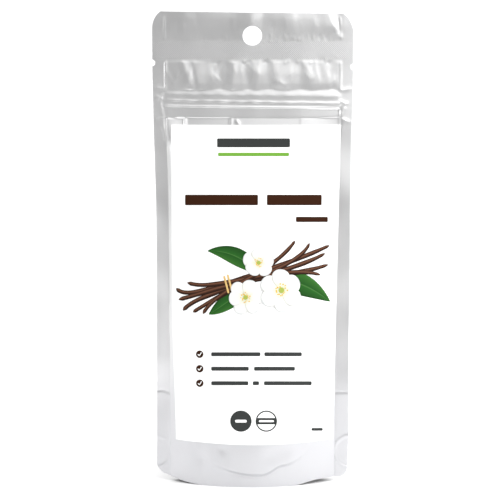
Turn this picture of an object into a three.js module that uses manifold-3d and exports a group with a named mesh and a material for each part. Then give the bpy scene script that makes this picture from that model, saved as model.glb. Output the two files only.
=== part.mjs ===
// A stand-up pouch of silver film, shut, with a little dry spice inside and a paper label on its front.
// Millimetres, +Z up. It stands on its bottom edge at z = 0, and its front faces -Y.
// The film is one solid: belly, side seals, top seal, pressed-shut zip, header with its hang hole,
// and the folded gusset underneath, which stays open from below.

import * as THREE from "three";
import { mergeVertices } from "three/addons/utils/BufferGeometryUtils.js";
import Module from "manifold-3d";

const wasm = await Module();
wasm.setup();

// Outline of the film, seen from the front
const HEIGHT = 212; // top edge at its left corner
const TOP_TILT = 1.2; // the top edge is this much lower at its right corner
const HALF_WIDTH = 44; // at the header
const WAIST_TUCK = 1.1; // how far each side comes in where the belly swells
const WAIST_TOP = 178; // the tuck starts here
const WAIST_FULL = 120; // and is complete here
const TOP_CORNER_RADIUS = 6.8;
const FOOT_FLAT = 20; // half length of the straight stretch that the pouch stands on
const FOOT_LIFT = 2.6; // rise of the bottom edge at its corners
const FOOT_CORNER = 5; // size of the rounded bottom corners
const FOOT_CORNER_DIP = 0.5; // the corner's curve starts out this much above the lift
const HOLE_RADIUS = 4.35;
const HOLE_Z = 202;
const NOTCH_RADIUS = 1.5; // tear notches in the side edges
const NOTCH_LEFT_Z = 189.9;
const NOTCH_RIGHT_Z = 188.2;

// Seals and zip
const SEAL_THICKNESS = 0.5; // both films where they are welded
const SIDE_SEAL = 5.5;
const TOP_SEAL_LOW = 191.5;
const TOP_SEAL_HIGH = 200;
const ZIP_RIDGES = [
  { z: 176.6, height: 0.95, width: 1.5 },
  { z: 173.3, height: 0.75, width: 1.0 },
  { z: 171.3, height: 0.9, width: 0.6 },
];
const ZIP_FADE_IN = 1; // the zip's relief dies out from this far inside the side seal
const ZIP_FADE_OUT = 1.5; // to this far into it
const FLANGE_LOW = 166.2; // lower edge of the strip that carries the zip
const FLANGE_HIGH = 177.8;
const FLANGE_PROUD = 0.35;
const FLANGE_LOW_STEP = 0.6; // height over which the strip's lower edge rises
const FLANGE_HIGH_STEP = 1; // and its upper edge

// Belly
const FRONT_DEPTH = 11.6;
const BACK_DEPTH = 12.05;
const LENS_POWER = 0.92; // 1 is a parabola from seal to seal, less is fuller

// Header
const HEADER_PUFF = 0.75; // each film stands out this far between top seal and zip
const PUFF_EDGE_POWER = 0.4; // how abruptly it does so next to the side seals
const PUCKER_MEAN = 0.65; // the puckers vary the puff about this share
const PUCKER_SWING = 0.35; // by this much
const PUCKER_LENGTH = 15; // from one pucker to the next
const PUCKER_DRIFT = 1.3; // how unevenly they are spaced, in radians
const DRIFT_LENGTH = 37;
const LIP_SPREAD = 0.5; // the two loose lips above the top seal part by this much at the edge
const HEADER_WAVE = 0.55; // the lips are wavy by this much
const WAVE_LENGTH = 33;
const WAVE_START = 0.7; // phase of the wave at the middle, in radians

// Bottom gusset
const GUSSET_TOP = 41.2; // where its fold meets the side seals
const FOLD_SAG = 4; // the fold hangs this much lower at the middle
const ARCH_LOW = 5.7; // middle of the arch-shaped bottom seal
const ARCH_POWER = 2.2;
const ARCH_BULGE = 1.1; // the film swells out just above that seal
const ARCH_STEP = 3.5; // over this height
const ARCH_FADE_LOW = 22;
const ARCH_FADE_HIGH = 70;
const GUSSET_SAG_POWER = 1.15; // 1 is a straight tent, more sags
const SKIRT_THICKNESS = 0.6; // film and gusset welded, below the arch
const RECESS_REACH = 0.94; // share of the half width between the seals that the recess takes
const GUSSET_REACH = 1.25; // the space under the gusset is made this much deeper than the pouch

// Label
const LABEL_TOP = 162.7;
const LABEL_BOTTOM = 19.9;
const LABEL_TOP_LEFT = -36.1;
const LABEL_TOP_RIGHT = 39.3;
const LABEL_BOTTOM_LEFT = -34.6;
const LABEL_BOTTOM_RIGHT = 36.6;
const LABEL_GAP = 0.4;
const LABEL_THICKNESS = 0.3;

// Fineness of the faceted film and label
const BELLY_COLUMNS = 22;
const LABEL_COLUMNS = 16;
const LABEL_ROWS = 26;
const SKIRT_ROWS = 10;
const GUSSET_SIDES = 5; // columns from the gusset's fold down to each side of its space
const CUT_MARGIN = 3; // the film's grid runs this far past the outline that trims it
const ROW_STEPS = [
  { upTo: 45, step: 3.4 },
  { upTo: 164, step: 7 },
  { upTo: 179, step: 0.95 },
  { upTo: HEIGHT + CUT_MARGIN, step: 2.8 },
];
const SIDE_STEP = 22;
const SIDE_STEPS = 8;
const ROUND_STEPS = 8;
const TRIM_DEPTH = 80;

const { clamp, lerp, smoothstep } = THREE.MathUtils;

const turn = 2 * Math.PI;
const ridge = (t, centre, width) => Math.exp(-(((t - centre) / width) ** 2));

function halfWidth(z) {
  return HALF_WIDTH - WAIST_TUCK * smoothstep(-z, -WAIST_TOP, -WAIST_FULL);
}

const sealInner = (z) => halfWidth(z) - SIDE_SEAL;

// 1 on the middle line, 0 at the side seals.
function lens(x, z) {
  const across = Math.min(1, Math.abs(x) / sealInner(z));
  return (1 - across ** 2) ** LENS_POWER;
}

// 0 at the zip, 1 at the foot.
function bellyRise(z) {
  const down = clamp((FLANGE_LOW - z) / FLANGE_LOW, 0, 1);
  return Math.sin((down * Math.PI) / 2);
}

// Height of the seal that joins a face to the gusset.
function archHeight(x) {
  const across = Math.min(1, Math.abs(x) / sealInner(0));
  return lerp(ARCH_LOW, GUSSET_TOP, across ** ARCH_POWER);
}

function archBulge(x, z) {
  const above = smoothstep(z - archHeight(x), 0, ARCH_STEP);
  const fade = 1 - smoothstep(z, ARCH_FADE_LOW, ARCH_FADE_HIGH);
  return ARCH_BULGE * above * fade * lens(x, z);
}

function zipRelief(x, z) {
  const seal = sealInner(z);
  const inside = 1 - smoothstep(Math.abs(x), seal - ZIP_FADE_IN, seal + ZIP_FADE_OUT);
  const above = smoothstep(z, FLANGE_LOW - FLANGE_LOW_STEP, FLANGE_LOW);
  const below = 1 - smoothstep(z, FLANGE_HIGH, FLANGE_HIGH + FLANGE_HIGH_STEP);
  const ribs = ZIP_RIDGES.reduce((sum, rib) => sum + rib.height * ridge(z, rib.z, rib.width), 0);
  return inside * (FLANGE_PROUD * above * below + ribs);
}

// The loose films between the zip and the top seal, gathered into upright puckers.
function headerPuff(x, z) {
  const along = clamp((z - FLANGE_HIGH) / (TOP_SEAL_LOW - FLANGE_HIGH), 0, 1);
  const drift = PUCKER_DRIFT * Math.sin((x / DRIFT_LENGTH) * turn);
  const pucker = PUCKER_MEAN + PUCKER_SWING * Math.sin((x / PUCKER_LENGTH) * turn + drift);
  return HEADER_PUFF * Math.sin(along * Math.PI) * pucker * lens(x, z) ** PUFF_EDGE_POWER;
}

const lipRise = (z) => smoothstep(z, TOP_SEAL_HIGH, HEIGHT);

// How far the middle between the two films wanders from the flat.
function filmWave(x, z) {
  return HEADER_WAVE * lipRise(z) * Math.sin((x / WAVE_LENGTH) * turn + WAVE_START);
}

function halfThickness(x, z, depth) {
  const belly = depth * bellyRise(z) * lens(x, z) + archBulge(x, z);
  const header = headerPuff(x, z) + (LIP_SPREAD / 2) * lipRise(z) * lens(x, z);
  return SEAL_THICKNESS / 2 + belly + zipRelief(x, z) + header;
}

const frontY = (x, z) => filmWave(x, z) - halfThickness(x, z, FRONT_DEPTH);
const backY = (x, z) => filmWave(x, z) + halfThickness(x, z, BACK_DEPTH);

// Turns a closed three.js geometry into a solid that can be cut.
function toSolid(geometry) {
  const plain = geometry.clone();
  plain.deleteAttribute("normal");
  plain.deleteAttribute("uv");
  const merged = mergeVertices(plain);
  const vertProperties = new Float32Array(merged.getAttribute("position").array);
  const triVerts = new Uint32Array(merged.index.array);
  return new wasm.Manifold(new wasm.Mesh({ numProp: 3, vertProperties, triVerts }));
}

function toGeometry(solid) {
  const mesh = solid.getMesh();
  const geometry = new THREE.BufferGeometry();
  geometry.setAttribute("position", new THREE.BufferAttribute(mesh.vertProperties, 3));
  geometry.setIndex(new THREE.BufferAttribute(mesh.triVerts, 1));
  geometry.computeVertexNormals();
  return geometry;
}

// A closed body between two sheets of points over the same grid. near and far are called with (i, j).
function slab(columns, rows, near, far) {
  const width = columns + 1;
  const count = width * (rows + 1);
  const positions = [];
  for (const sheet of [near, far]) {
    for (let j = 0; j <= rows; j++) {
      for (let i = 0; i <= columns; i++) positions.push(...sheet(i, j));
    }
  }
  const nearAt = (i, j) => j * width + i;
  const farAt = (i, j) => count + j * width + i;
  const index = [];
  const quad = (a, b, c, d) => index.push(a, b, c, a, c, d);
  for (let j = 0; j < rows; j++) {
    for (let i = 0; i < columns; i++) {
      quad(nearAt(i, j), nearAt(i + 1, j), nearAt(i + 1, j + 1), nearAt(i, j + 1));
      quad(farAt(i, j), farAt(i, j + 1), farAt(i + 1, j + 1), farAt(i + 1, j));
    }
  }
  for (let i = 0; i < columns; i++) {
    quad(nearAt(i, 0), farAt(i, 0), farAt(i + 1, 0), nearAt(i + 1, 0));
    quad(nearAt(i, rows), nearAt(i + 1, rows), farAt(i + 1, rows), farAt(i, rows));
  }
  for (let j = 0; j < rows; j++) {
    quad(nearAt(0, j), nearAt(0, j + 1), farAt(0, j + 1), farAt(0, j));
    quad(nearAt(columns, j), farAt(columns, j), farAt(columns, j + 1), nearAt(columns, j + 1));
  }
  const geometry = new THREE.BufferGeometry();
  geometry.setAttribute("position", new THREE.Float32BufferAttribute(positions, 3));
  geometry.setIndex(index);
  geometry.computeVertexNormals();
  return geometry;
}

// Heights of the grid's rows, closer together where the relief is finer.
function rowHeights() {
  const heights = [-CUT_MARGIN];
  for (const { upTo, step } of ROW_STEPS) {
    const low = heights[heights.length - 1];
    const rows = Math.ceil((upTo - low) / step);
    for (let row = 1; row <= rows; row++) heights.push(lerp(low, upTo, row / rows));
  }
  return heights;
}

// Column i of the film's grid: the belly from seal to seal, then one column past each side edge.
function columnX(i, z) {
  if (i === 0) return -halfWidth(z) - CUT_MARGIN;
  if (i === BELLY_COLUMNS + 2) return halfWidth(z) + CUT_MARGIN;
  return sealInner(z) * ((2 * (i - 1)) / BELLY_COLUMNS - 1);
}

function filmBlank() {
  const heights = rowHeights();
  const sheet = (surface) => (i, j) => {
    const z = heights[j];
    const x = columnX(i, z);
    return [x, surface(x, z), z];
  };
  return toSolid(slab(BELLY_COLUMNS + 2, heights.length - 1, sheet(frontY), sheet(backY)));
}

// The die-cut outline with its tear notches and hang hole, as a block that trims the film.
function outlineBlock() {
  const top = (x) => HEIGHT - (TOP_TILT * (x + HALF_WIDTH)) / (2 * HALF_WIDTH);
  const cornerX = HALF_WIDTH - TOP_CORNER_RADIUS;
  const cornerZ = (x) => top(x) - TOP_CORNER_RADIUS;
  const footX = halfWidth(0);
  const footBend = (FOOT_FLAT + footX) / 2;
  const footTurn = FOOT_LIFT + FOOT_CORNER_DIP;
  const quarter = Math.PI / 2;
  const outline = new THREE.Shape();
  outline.moveTo(-FOOT_FLAT, 0);
  outline.lineTo(FOOT_FLAT, 0);
  outline.quadraticCurveTo(footBend, 0, footX - FOOT_CORNER, FOOT_LIFT);
  outline.quadraticCurveTo(footX, footTurn, footX, FOOT_LIFT + FOOT_CORNER);
  for (let i = 1; i <= SIDE_STEPS; i++) outline.lineTo(halfWidth(i * SIDE_STEP), i * SIDE_STEP);
  outline.lineTo(HALF_WIDTH, NOTCH_RIGHT_Z - NOTCH_RADIUS);
  outline.absarc(HALF_WIDTH, NOTCH_RIGHT_Z, NOTCH_RADIUS, -quarter, quarter, true);
  outline.lineTo(HALF_WIDTH, cornerZ(HALF_WIDTH));
  outline.absarc(cornerX, cornerZ(HALF_WIDTH), TOP_CORNER_RADIUS, 0, quarter, false);
  outline.lineTo(-cornerX, top(-HALF_WIDTH));
  outline.absarc(-cornerX, cornerZ(-HALF_WIDTH), TOP_CORNER_RADIUS, quarter, 2 * quarter, false);
  outline.lineTo(-HALF_WIDTH, NOTCH_LEFT_Z + NOTCH_RADIUS);
  outline.absarc(-HALF_WIDTH, NOTCH_LEFT_Z, NOTCH_RADIUS, quarter, -quarter, true);
  for (let i = SIDE_STEPS; i >= 1; i--) outline.lineTo(-halfWidth(i * SIDE_STEP), i * SIDE_STEP);
  outline.lineTo(-footX, FOOT_LIFT + FOOT_CORNER);
  outline.quadraticCurveTo(-footX, footTurn, -footX + FOOT_CORNER, FOOT_LIFT);
  outline.quadraticCurveTo(-footBend, 0, -FOOT_FLAT, 0);

  const hole = new THREE.Path();
  hole.absarc(0, HOLE_Z, HOLE_RADIUS, 0, turn, false);
  outline.holes.push(hole);

  const block = new THREE.ExtrudeGeometry(outline, {
    depth: TRIM_DEPTH,
    bevelEnabled: false,
    curveSegments: ROUND_STEPS,
  });
  block.translate(0, 0, -TRIM_DEPTH / 2);
  block.rotateX(Math.PI / 2);
  return toSolid(block);
}

// The space inside the two skirts: the belly's own form, thinner by the skirt's thickness.
function skirtSpace() {
  const low = -2 * CUT_MARGIN;
  const sheet = (surface, inward) => (i, j) => {
    const z = lerp(low, GUSSET_TOP + CUT_MARGIN, j / SKIRT_ROWS);
    const x = sealInner(z) * RECESS_REACH * ((2 * i) / BELLY_COLUMNS - 1);
    return [x, surface(x, z) + inward * SKIRT_THICKNESS, z];
  };
  return toSolid(slab(BELLY_COLUMNS, SKIRT_ROWS, sheet(frontY, 1), sheet(backY, -1)));
}

// Everything below the gusset film, which folds up along its middle like a tent.
function underGusset() {
  const floor = -2 * CUT_MARGIN;
  const plan = (i, j) => {
    const x = sealInner(0) * ((2 * i) / BELLY_COLUMNS - 1);
    const share = GUSSET_REACH * (j / GUSSET_SIDES - 1);
    const arch = archHeight(x);
    const half = share < 0 ? -frontY(x, arch) : backY(x, arch);
    return { x, y: share * half, share: Math.min(1, Math.abs(share)), arch };
  };
  const film = (i, j) => {
    const { x, y, share, arch } = plan(i, j);
    const across = Math.abs(x) / sealInner(0);
    const fold = GUSSET_TOP - FOLD_SAG * (1 - across ** 2);
    return [x, y, arch + (fold - arch) * (1 - share) ** GUSSET_SAG_POWER];
  };
  const ground = (i, j) => {
    const { x, y } = plan(i, j);
    return [x, y, floor];
  };
  return toSolid(slab(BELLY_COLUMNS, 2 * GUSSET_SIDES, film, ground));
}

function pouchGeometry() {
  const recess = skirtSpace().intersect(underGusset());
  return toGeometry(filmBlank().intersect(outlineBlock()).subtract(recess));
}

// The label lies on the front film and bends with it.
function labelGeometry() {
  const sheet = (offset) => (i, j) => {
    const up = j / LABEL_ROWS;
    const z = lerp(LABEL_BOTTOM, LABEL_TOP, up);
    const left = lerp(LABEL_BOTTOM_LEFT, LABEL_TOP_LEFT, up);
    const right = lerp(LABEL_BOTTOM_RIGHT, LABEL_TOP_RIGHT, up);
    const x = lerp(left, right, i / LABEL_COLUMNS);
    return [x, frontY(x, z) - offset, z];
  };
  return slab(LABEL_COLUMNS, LABEL_ROWS, sheet(LABEL_GAP + LABEL_THICKNESS), sheet(LABEL_GAP));
}

function part(name, geometry, look) {
  const mesh = new THREE.Mesh(geometry, new THREE.MeshStandardMaterial(look));
  mesh.name = name;
  return mesh;
}

const pouch = new THREE.Group();
pouch.name = "stand_up_pouch";
pouch.add(
  part("pouch", pouchGeometry(), { color: 0xc9cacc, roughness: 0.32, metalness: 0.9 }),
  part("front_label", labelGeometry(), { color: 0xfbfbfa, roughness: 0.55, metalness: 0 }),
);

export default pouch;
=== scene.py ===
"""A shut stand-up pouch of silver film for dry spice. It stands on its opened bottom gusset and has a white
label on its front.

Sizes are in millimetres, and become metres where a mesh is made. +Z is up, and the front faces -Y.
A height is measured from the floor, and a depth from the plane of the side seals.
"""

import math
import random

import bpy
import numpy as np
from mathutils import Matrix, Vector


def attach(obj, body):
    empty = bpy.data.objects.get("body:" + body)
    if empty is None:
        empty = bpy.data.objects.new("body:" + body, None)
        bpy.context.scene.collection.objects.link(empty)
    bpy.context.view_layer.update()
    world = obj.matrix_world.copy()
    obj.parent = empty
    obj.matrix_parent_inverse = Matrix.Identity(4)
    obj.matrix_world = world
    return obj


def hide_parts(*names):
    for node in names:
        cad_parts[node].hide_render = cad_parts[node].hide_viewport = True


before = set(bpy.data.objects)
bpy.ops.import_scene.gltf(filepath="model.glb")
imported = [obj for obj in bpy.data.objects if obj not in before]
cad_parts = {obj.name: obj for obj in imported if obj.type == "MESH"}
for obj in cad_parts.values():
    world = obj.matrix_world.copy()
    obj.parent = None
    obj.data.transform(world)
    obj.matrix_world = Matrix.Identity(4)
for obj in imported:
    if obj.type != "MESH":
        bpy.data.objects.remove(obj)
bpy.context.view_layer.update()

MM = 0.001
TURN = 2 * math.pi

# Outline of the film, seen from the front
HEIGHT = 212
TOP_TILT = 1.2  # the top edge is this much lower at its right corner
TOP_RISE = 0.65  # the open flap stretches up by this much
HALF_WIDTH = 44
WAIST_TUCK = 1.1
EDGE_WANDER_LEFT = [  # height, how much further out the edge is there
    (0, 0.5), (7, 0.6), (12, 0.5), (20, 0.42), (39, 0.28), (61, 0.1), (90, -0.1), (137, 0.1), (172, 0.05),
    (184, 0.3), (212, 0.3),
]
EDGE_WANDER_RIGHT = [
    (0, 0.2), (12, 0.5), (20, 0.75), (39, 0.6), (61, 0.5), (83, 0.75), (111, 0.8), (137, 0.62), (159, 0.25),
    (173, 0.48), (184, 0.62), (204, 0.55), (208, 0.1), (212, -0.1),
]
WAIST_TOP = 178
WAIST_FULL = 120
TOP_CORNER = 9
TOP_CORNER_RISE = 7.3
FOOT_FLAT = 20
FOOT_LIFT = 2.6
FOOT_LIFT_REACH = 38  # the left corner is lifted in full out here
FOOT_LIFT_TOP = 16  # the lift fades out up to this height
FOOT_CORNERS = (6.5, 4)  # left, right
FOOT_STEP = 2  # the right corner's lower edge runs level at this height
FOOT_STEP_REACH = (17, 31)
BACK_LIFT = 2.6  # the back face stands this much further off the floor next to its corners
BACK_LIFT_REACH = (17, 25, 28.5, 34)  # from the middle: where the lift starts, is full, fades and ends
BACK_LIFT_TOP = 14
HOLE_RADIUS = 4.35
HOLE_HEIGHT = 202
NOTCH_RADIUS = 1.5
PUNCH_LENGTH = 30  # longer than the pouch is deep
NOTCHES = [(-44.45, 189.9), (44.75, 188.2)]

# Seals and zip
SEAL_THICKNESS = 0.5
SIDE_SEAL = 5.5
TOP_SEAL_LOW = 191.4
TOP_SEAL_HIGH = 199.6
FLANGE_LOW = 166.2
FLANGE_HIGH = 177.8
FLANGE_EDGE = 0.6  # its edges rise over this height
FLANGE_FADE = 1.6  # its upper edge starts to fall this far down
FLANGE_TOE = 1.1  # the folds under the flange fade out over this height
FLANGE_PROUD = 0.19
ZIP_RIDGES = [  # height in the middle, how it falls to the right, how proud, how wide, how uneven
    (175.7, 0.012, 0.1, 1.0, 1),
    (172.8, 0.018, 0.16, 0.5, 1),
    (170.5, 0.014, 0.25, 0.36, 0.15),
]
ZIP_ENDS = (1, 1.5)  # the zip fades out from this far inside the side seals to this far into them
ZIP_WAVER = 0.06  # the ridges wander up and down by about this much
ZIP_WAVES = [(0.31, 0.6, 1), (0.83, 2, 0.7)]  # waves of the wander: how quick, phase, share

# Belly, header and gusset
FRONT_DEPTH = 11.6
BACK_DEPTH = 12.05
LENS_POWER = 0.92
SHOULDER = (1.1, 2.2)  # the film leaves the left seal steeply: how far, and over what reach
SHOULDER_HEIGHTS = (45, 75, 150, 164)  # starts, is full, fades and ends
SHOULDER_ACROSS = (4, 30)  # fades out towards the middle between these places
HEADER_PUFF = 0.32
HEADER_PUFF_START = (0.5, 3.5)  # it rises from this far below the flange's top edge to this far above
HEADER_PUFF_FALL = (0.8, 0.5, 1)  # it falls by this share, between these shares of the header's height
HEADER_PUFF_POWER = 0.4
HEADER_FOLD_START = (0.4, 1)
HEADER_HELD = 1.4  # the films close over this height, up to the top seal
FOLD_EASE = (0.45, 0.55)  # shares of a straight and of a rounded rise between two fold lines
HEADER_BOW = 2.2  # its side edges stand this much further back than its middle
HEADER_BOW_HEIGHTS = (120, 190)
LIP_SPREAD = 1.1
LIP_SPREAD_POWER = 0.6
LIP_ROLL = 0.1
LIP_ROLL_HEIGHTS = (HEIGHT - 3, HEIGHT + 0.4)
LIP_ROLL_POWER = 0.3
FLAP_RISE = (0.2, 7)  # its folds start this far below the top seal's edge, and are full this far above
FILM = 0.2  # one film, drawn a little thicker than it is
SKIRT = 0.45  # film and gusset welded
GUSSET_TOP = 41.2
FOLD_SAG = 4
ARCH = [  # the gusset seal's edge on the faces: x, height
    (-38.5, 41.2), (-30.0, 24.0), (-24.0, 14.0), (-18.3, 9.6), (-13.1, 7.5), (-7.9, 6.0), (-2.3, 5.1),
    (3.0, 4.8), (5.6, 5.0), (8.0, 6.0), (12.2, 8.8), (16.4, 9.2), (20.1, 10.8), (24.0, 15.0),
    (30.0, 25.0), (38.5, 41.2),
]
ARCH_BULGE = 1.1
ARCH_STEP = 1.7
ARCH_SOFTNESS = 1.2
ARCH_FADE = (22, 70)
ARCH_FADE_LEFT = (8, 19, 0.85)  # the swell above the arch fades from here to here by this share
ARCH_FADE_RIGHT = (15, 25, 0.8)
ARCH_GROOVE = 0.1
ARCH_GROOVE_PLACE = (-0.25, 0.42)  # above the arch, and how wide
ARCH_GROOVE_LEFT = (5, 14, 1)
ARCH_GROOVE_RIGHT = (15, 22, 1)
GUSSET_SAG_POWER = 1.15

# Label
LABEL_TOP = 162.7
LABEL_BOTTOM = 19.9
LABEL_LEFT = -36.1
LABEL_RIGHT = (36.6, 39.3)  # at its bottom, at its top
LABEL_LEFT_TUCK = (1.5, 15, 85)  # how far the left edge moves in, between these heights
LABEL_THICKNESS = 0.16
LABEL_GAP = 0.05
LABEL_BRIDGE = (0.34, 153, 161)  # it spans small folds by this much, between these heights and above

# Print on the label: x and z in the pouch's frame
READER = (877, 247)  # how far in front of the label, and how high
INK = 0.012
TIE_TALL = 0.84
BADGE_BAR = 2.9  # the bar across the ring
BADGE_BAR_INSET = 0.2
BADGE_MARKS = [(2.6, 1.3), (3.4, 0.9)]  # the pale bars on the disc and on the ring's bar: half length, height
INK_LIFT = 0.03
INK_STEP = 0.01  # each layer of print lies this much over the last
PALE_LAYER = 2
POD_LAYER = 4
TIE_LAYER = 11
BLOSSOM_LAYER = 13
LINE_CORNER = 0.5
UPPER_BAR = ((-15.6, 16.7), 154.8, 3.9)  # reach from left to right, height on the pouch, how tall
UPPER_LINE = ((-15.2, 16.3), 149.7, 1.5)
WIDE_BARS = [((-29.9, 2.5), 129.6, 4.6), ((6.5, 30.9), 129.6, 4.6)]
SHORT_BAR = ((19.4, 33.7), 121.0, 2.3)
ROW_HEIGHTS = (60.9, 54.4, 47.9)
ROW_BARS = [
    ((-18.4, 3.6), (5.4, 22.2)),
    ((-18.4, -1.6), (0.8, 19.1)),
    ((-18.4, -1.8), (0.2, 3.0), (5.2, 26.7)),
]
ROW_TALL = 1.75
BULLET_X = -23.6
BULLET_RADIUS = 1.65
TICK = [((-0.85, 0.05), (-0.2, -0.75)), ((-0.2, -0.75), (0.85, 0.85))]
TICK_TALL = 0.42
DISC_BADGE = (-5.1, 30.8)
RING_BADGE = (6.3, 30.8)
BADGE_RADIUS = 4.8
RING_LINE = 0.6
CORNER_BAR = ((26.7, 31.9), 27.1, 1.3)

# Botanical design: each pod and leaf follows a curve
PODS = [  # the curve's control points, half width
    ([(-34.0, 90.5), (-29.5, 84.0), (-12, 93.0), (8, 98.5), (24, 104.5), (34.5, 109.5)], 1.15),
    ([(-31.0, 80.5), (-25.5, 87.5), (-10, 89.5), (4, 97.0), (21, 99.0), (32.5, 106.0)], 1.2),
    ([(-26.5, 79.8), (-21.0, 83.0), (-9, 91.5), (6, 96.5), (22, 101.5), (25.5, 110.5)], 1.05),
    ([(-33.0, 85.4), (-22.0, 88.0), (-8, 93.5), (5, 96.0), (20, 96.0), (34.0, 101.0)], 1.2),
    ([(-29.0, 93.0), (-20.0, 89.5), (-8, 94.5), (6, 95.5), (18, 100.0), (30.5, 96.4)], 1.1),
    ([(-22.0, 79.0), (-18.0, 87.0), (-6, 92.5), (7, 98.0), (15, 105.5), (19.0, 111.5)], 1.0),
]
POD_TIE = [[(-10.6, 88.2), (-12.6, 96.0)], [(-8.9, 88.7), (-11.0, 96.6)]]
LEAVES = [
    ([(9, 93.0), (18, 95.5), (27, 90.5), (35, 84.5)], 5.0),
    ([(3, 97.0), (-4, 104.5), (-12, 107.5), (-20, 107.0)], 3.9),
    ([(-2, 88.5), (-9, 87.0), (-15, 81.0), (-19.5, 78.8)], 3.5),
]
BLOSSOMS = [  # middle, radius, petals, turn
    ((2.8, 101.8), 7.0, 5, 0.3),
    ((-3.0, 86.4), 8.0, 6, 0.15),
    ((13.0, 89.6), 9.8, 6, 0.6),
]

# Petals, throats and specks of a blossom, as shares of its radius where no other unit is named
BLOSSOM_SEED = 5
PETAL_TURN = 0.1  # radians, either way
PETAL_LENGTH = (0.88, 1.04)
PETAL_BEND = 0.14  # radians, either way
PETAL_FULL = 0.98
PETAL_WIDTH = (0.72, 0.84)  # of the width that would fill the circle
PETAL_WIDEST = 0.62  # share of a petal's length at which it is widest
PETAL_BASE_POWER = 1.7
THROAT_RADIUS = 0.13
SPECK_COUNT = 16
SPECK_TURN = 0.2  # radians, either way
SPECK_AWAY = (0.14, 0.3)
SPECK_RADIUS = (0.026, 0.04)

# Fold lines of the header's films: place at the foot, place at the top, and how proud
FRONT_FOLDS = [
    (-38.4, -38.4, 0),
    (-36.6, -35.6, 0.08),
    (-31.5, -33.0, 0.12),
    (-26.9, -31.0, 0.34),
    (-24.6, -27.8, 0.1),
    (-23.2, -25.9, 0.22),
    (-18.5, -20.5, -0.02),
    (-13.3, -15.9, -0.26),
    (-11.4, -12.4, -0.08),
    (-8.9, -8.0, 0.24),
    (-4.6, -6.0, 0.0),
    (-1.4, -3.6, -0.2),
    (1.7, 1.6, 0.06),
    (4.2, 4.0, -0.06),
    (7.8, 6.6, -0.16),
    (14.0, 9.2, 0.08),
    (18.0, 15.0, 0.0),
    (22.0, 19.6, -0.1),
    (26.3, 23.6, 0.08),
    (31.0, 29.0, 0.0),
    (36.0, 34.2, -0.1),
    (38.2, 37.8, 0.06),
    (39.0, 39.0, 0),
]
BACK_FOLDS = [
    (-38.6, -38.6, 0),
    (-33.0, -35.0, 0.35),
    (-27.5, -24.5, -0.2),
    (-19.0, -21.5, 0.4),
    (-12.0, -9.5, -0.35),
    (-5.5, -6.5, 0.2),
    (2.5, 4.5, -0.3),
    (9.5, 7.5, 0.45),
    (18.5, 20.5, -0.25),
    (24.5, 23.0, 0.3),
    (33.5, 31.5, -0.3),
    (36.5, 37.0, 0.1),
    (38.6, 38.6, 0),
]
FLAP_FOLDS = [
    (-40.1, -40.1, 0),
    (-38.4, -37.9, 0.1),
    (-31.0, -29.6, 0.5),
    (-24.0, -24.4, 0.28),
    (-16.4, -17.7, 0.4),
    (-9.0, -9.6, 0.24),
    (-1.6, -0.3, 0.95),
    (4.4, 4.8, 0.0),
    (12.0, 11.0, 0.02),
    (18.8, 17.6, 0.34),
    (22.3, 20.6, 0.14),
    (30.0, 27.0, 0.1),
    (38.9, 33.3, 0.26),
    (39.7, 37.1, -0.26),
    (40.6, 40.3, 0),
]

# Creases of the front film: start, end, how proud, reach of the left and of the right flank
FRONT_CREASES = [
    ((-43.0, 179.0), (-38.6, 178.4), 0.2, 0.5, 0.7),
    ((-43.0, 175.5), (-39.6, 173.9), 0.22, 0.5, 0.6),
    ((-39.6, 176.4), (-41.0, 173.3), 0.3, 0.6, 0.5),
    ((-41.0, 173.3), (-39.6, 166.2), 0.25, 0.5, 0.7),
    ((-43.0, 165.0), (-38.6, 166.0), 0.2, 0.5, 0.6),
    ((38.8, 177.7), (43.4, 178.4), 0.2, 0.6, 0.5),
    ((38.8, 173.3), (41.8, 171.6), 0.2, 0.4, 0.4),
    ((39.4, 170.6), (42.0, 172.4), 0.24, 0.35, 0.4),
    ((41.0, 170.6), (39.2, 166.2), 0.3, 0.5, 0.6),
    ((39.2, 165.4), (43.0, 163.8), 0.22, 0.5, 0.6),
    ((-7.1, 164.8), (-5.7, 162.6), 0.34, 0.4, 0.5),
    ((-39.9, 165.6), (-38.7, 156.0), 0.32, 0.5, 0.6),
    ((-41.6, 163.5), (-39.2, 160.0), 0.16, 0.5, 0.5),
    ((41.4, 165.0), (39.4, 158.5), 0.22, 0.5, 0.6),
    ((-38.6, 178.0), (-38.6, 190.6), 0.3, 0.18, 0.5),
    ((39.1, 178.0), (39.1, 190.4), 0.26, 0.5, 0.2),
    ((-38.9, 200.6), (-38.9, 210.5), 0.2, 0.2, 0.4),
    ((39.3, 200.6), (38.7, 210.0), 0.2, 0.4, 0.3),
    ((35.0, 194.6), (38.5, 191.9), 0.03, 0.3, 0.3),
]

# Short random creases: how many, from x, to x, from z, to z, shortest, longest, lean, proud, reach
SCATTERED_CREASES = [
    (34, -36, 37, 179.5, 187, 2.5, 7, 0.5, 0.08, 0.8),
    (26, -36, 37, 178, 187, 4, 9, 0.85, 0.16, 1.9),
    (22, 7, 37, 199.6, 200.6, 1.4, 3.0, 0.35, 0.12, 0.3),
    (5, -15, -9, 199.6, 200.6, 1.4, 2.6, 0.35, 0.07, 0.3),
    (16, -37, 37, 202.5, 206, 3.5, 6.5, 0.3, 0.16, 1.7),
    (14, -37, -16, 199.8, 201.0, 1.2, 2.2, 0.3, 0.04, 0.3),
    (18, -34, 36, 189.4, 190.4, 0.8, 1.8, 0.5, 0.12, 0.35),
]
BACK_CREASES = [
    (24, -33, 33, 25, 150, 12, 42, 0.9, 0.42, 2.4),
    (22, -34, 34, 15, 155, 5, 14, 1.6, 0.26, 1.0),
    (40, -36, 37, 179.5, 187, 2.5, 7, 0.45, 0.12, 0.9),
    (18, -37, 37, 201.5, 206, 3.5, 6.5, 0.3, 0.16, 1.6),
]
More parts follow.
